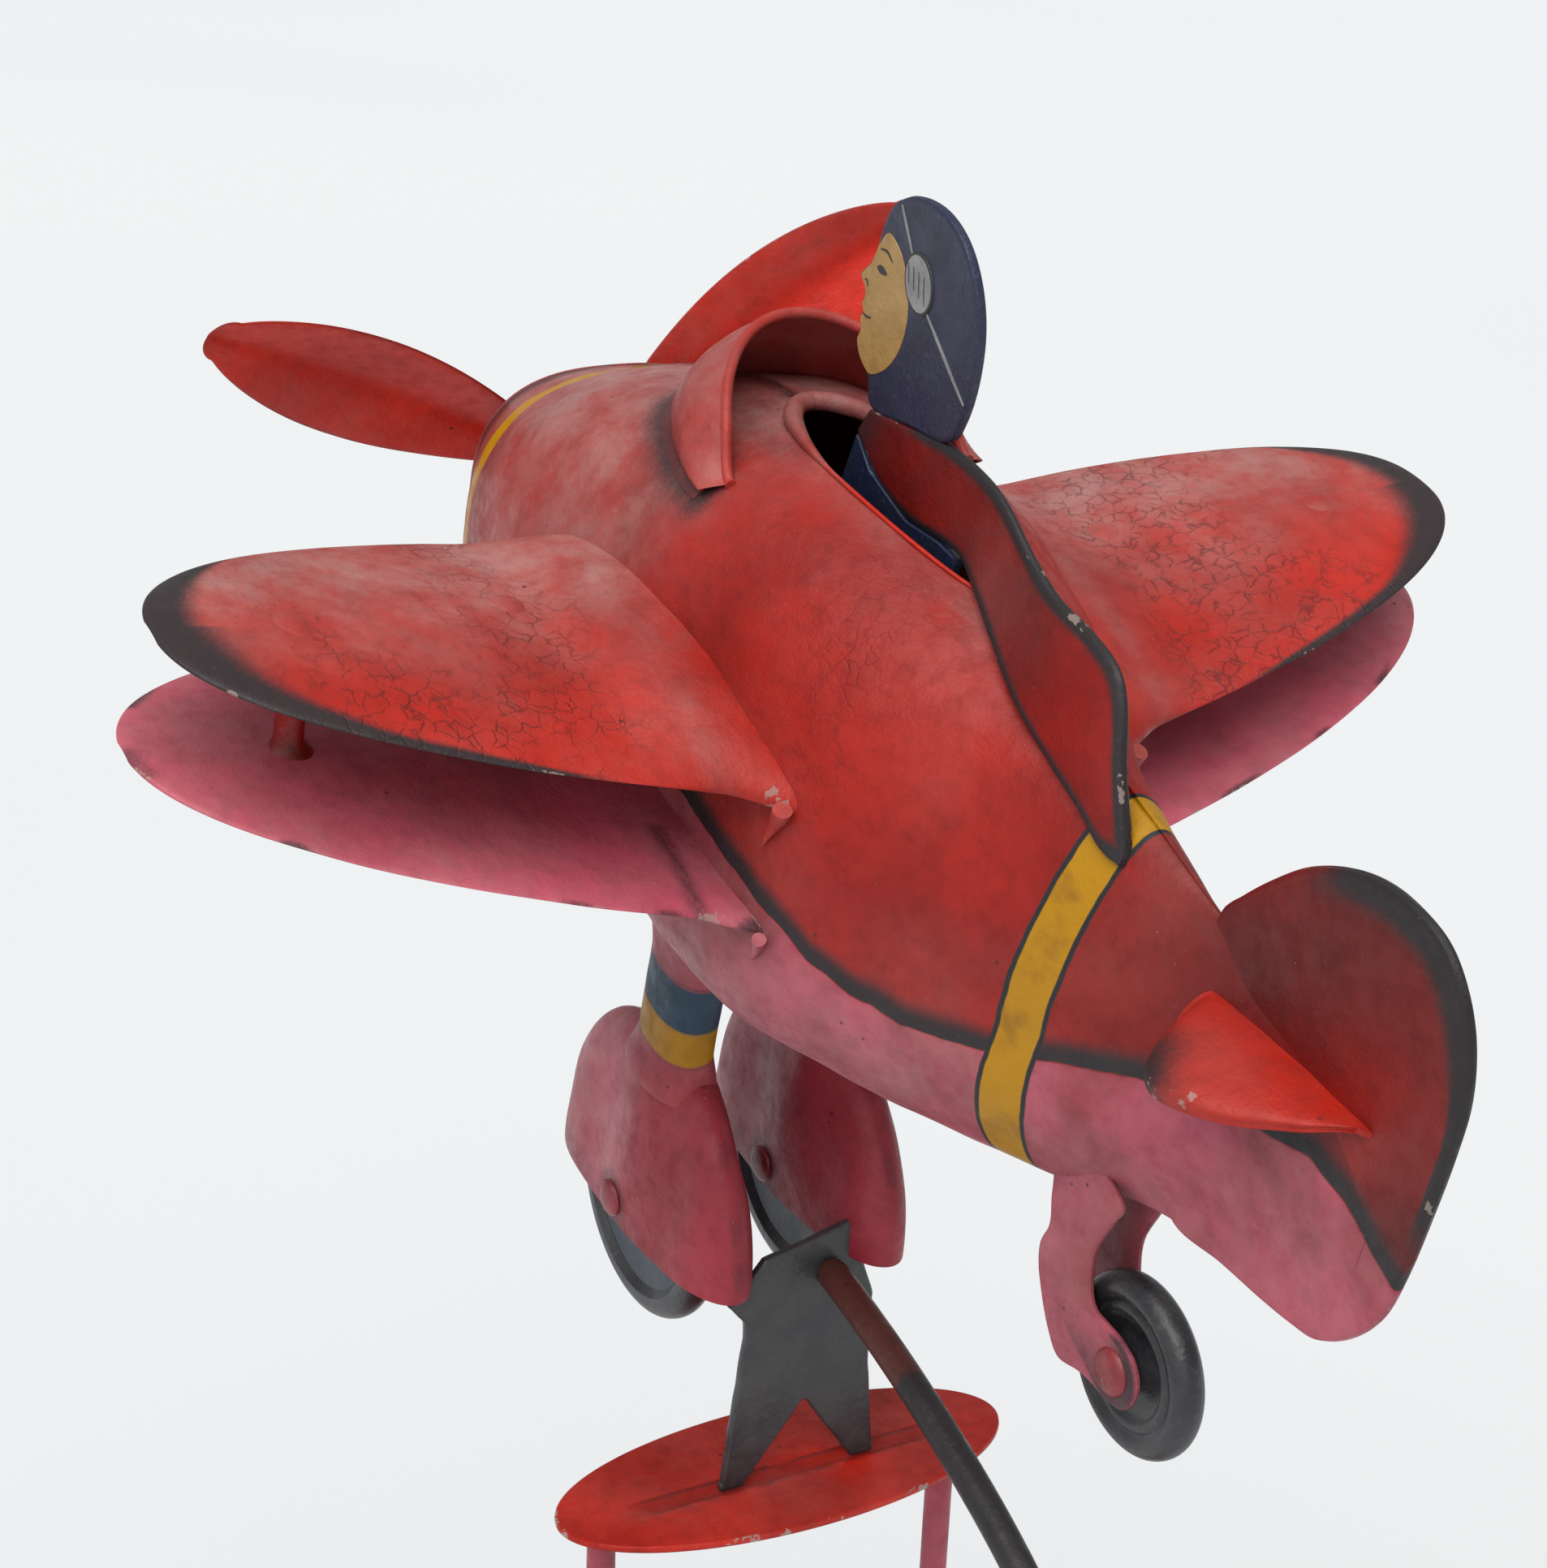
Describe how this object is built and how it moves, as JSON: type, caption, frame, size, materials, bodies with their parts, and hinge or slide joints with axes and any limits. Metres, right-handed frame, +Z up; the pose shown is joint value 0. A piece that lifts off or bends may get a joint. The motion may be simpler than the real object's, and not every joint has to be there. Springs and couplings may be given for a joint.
{
  "type": "rocking balance biplane",
  "caption": "Sheet-metal biplane that rocks on the two feet of a bracket over a stand, balanced by a ball on a curved rod, with a spinning propeller and rolling wheels.",
  "frame": {"origin": "centre of the base plate's underside, straight below the rocking axis", "axes": "+X towards the nose at rest level, +Y to port, +Z up"},
  "size_m": [0.3105, 0.2654, 0.6049],
  "materials": {
    "red_paint": "worn satin red with a dusty haze",
    "pink_paint": "worn satin crimson",
    "dark_paint": "charcoal with a red cast",
    "navy_paint": "satin navy with a crackled face panel",
    "black_paint": "satin black",
    "bare_steel": "dull",
    "weight_iron": "painted charcoal"
  },
  "bodies": {
    "stand": {"base_plate": "red_paint", "leg_port": "pink_paint", "leg_starboard": "pink_paint", "platform": "red_paint"},
    "biplane": {"pivot_bracket": "dark_paint", "balance_rod": "dark_paint", "counterweight_ball": "weight_iron", "fuselage_port": "red_paint", "fuselage_starboard": "red_paint", "nose_cap": "red_paint", "tail_fin": "red_paint", "windscreen": "red_paint", "cockpit_rim": "red_paint", "pilot_head": "navy_paint", "pilot_body": "navy_paint", "scarf": "red_paint", "upper_wing_port": "red_paint", "upper_wing_starboard": "red_paint", "lower_wing_port": "pink_paint", "lower_wing_starboard": "pink_paint", "outer_strut_port": "red_paint", "outer_strut_starboard": "red_paint", "inner_strut_port": "red_paint", "inner_strut_starboard": "red_paint", "stabilizer_port": "red_paint", "stabilizer_starboard": "red_paint", "gear_leg_port": "pink_paint", "gear_leg_starboard": "pink_paint", "spat_outer_port": "pink_paint", "spat_outer_starboard": "pink_paint", "spat_inner_port": "pink_paint", "spat_inner_starboard": "pink_paint", "wheel_axle_port": "pink_paint", "wheel_axle_starboard": "pink_paint", "fork_arm_port": "pink_paint", "fork_arm_starboard": "pink_paint", "tail_axle": "pink_paint", "propeller_shaft": "bare_steel"},
    "propeller": {"propeller_hub": "red_paint", "blade_one": "red_paint", "blade_two": "red_paint", "blade_three": "red_paint"},
    "port_wheel": {"main_wheel_port": "black_paint"},
    "starboard_wheel": {"main_wheel_starboard": "black_paint"},
    "rear_wheel": {"tail_wheel": "black_paint"}
  },
  "joints": [
    {"name": "rock", "type": "hinge", "parent": "stand", "child": "biplane", "pos_m": [0, 0, 0.34], "axis": [0, 1, 0], "range_deg": [-20, 20]},
    {"name": "propeller_spin", "type": "hinge", "parent": "biplane", "child": "propeller", "pos_m": [0.10724, 0, 0.5255], "axis": [0.9686, 0, 0.2487], "continuous": true},
    {"name": "port_wheel_roll", "type": "hinge", "parent": "biplane", "child": "port_wheel", "pos_m": [0.03119, 0.0175, 0.39344], "axis": [0, 1, 0], "continuous": true},
    {"name": "starboard_wheel_roll", "type": "hinge", "parent": "biplane", "child": "starboard_wheel", "pos_m": [0.03119, -0.0175, 0.39344], "axis": [0, 1, 0], "continuous": true},
    {"name": "rear_wheel_roll", "type": "hinge", "parent": "biplane", "child": "rear_wheel", "pos_m": [-0.11254, 0, 0.42849], "axis": [0, 1, 0], "continuous": true}
  ]
}
